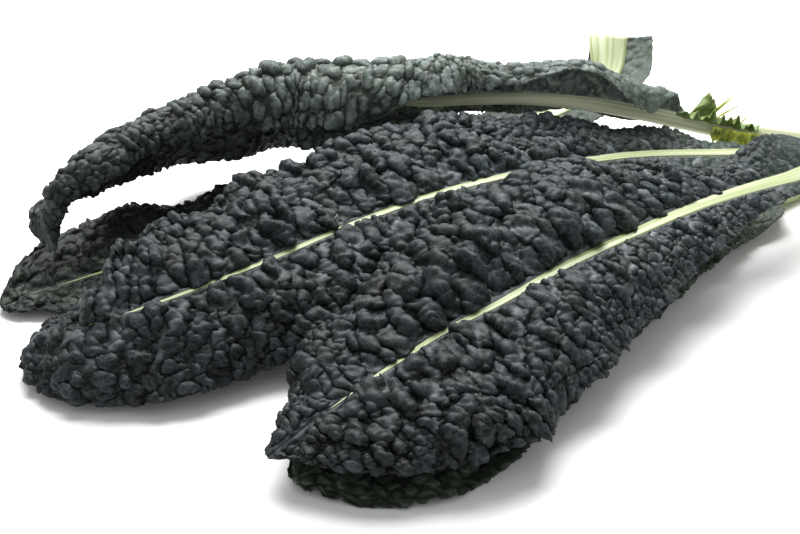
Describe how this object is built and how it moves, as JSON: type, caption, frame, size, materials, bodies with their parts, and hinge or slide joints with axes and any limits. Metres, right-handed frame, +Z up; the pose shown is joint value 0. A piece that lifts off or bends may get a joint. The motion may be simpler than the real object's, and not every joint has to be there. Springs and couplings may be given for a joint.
{
  "type": "lacinato kale bunch",
  "caption": "Loose pile of long, narrow kale leaves with deeply blistered dark blades and pale midribs, lying on a surface with the stalks together and the tips fanned out.",
  "frame": {"origin": "on the surface that the pile rests on, under the middle of the pile's bounding box", "axes": "+X towards the cut stalks, across the picture from left to right; +Y away from the camera; +Z up"},
  "size_m": [0.492, 0.3921, 0.0847],
  "materials": {
    "blue_black_blade": "waxy blistered leaf, blue-black green, satin",
    "bloomed_blade": "waxy blistered leaf, grey-green bloom, satin",
    "shaded_blade": "waxy blistered leaf, dark green, satin",
    "green_blade": "waxy blistered leaf, greener, satin",
    "midrib": "smooth pale green leaf rib with fine lengthwise grooves",
    "yellowed_frill": "thin yellowed leaf edge"
  },
  "bodies": {
    "root": {"back_leaf_blade": "shaded_blade", "back_leaf_rib": "midrib", "under_leaf_blade": "green_blade", "under_leaf_rib": "midrib", "middle_leaf_blade": "blue_black_blade", "middle_leaf_rib": "midrib", "front_leaf_blade": "blue_black_blade", "front_leaf_rib": "midrib", "arched_leaf_blade": "bloomed_blade", "arched_leaf_rib": "midrib", "arched_leaf_upper_frill": "yellowed_frill", "arched_leaf_lower_frill": "yellowed_frill"}
  },
  "joints": []
}
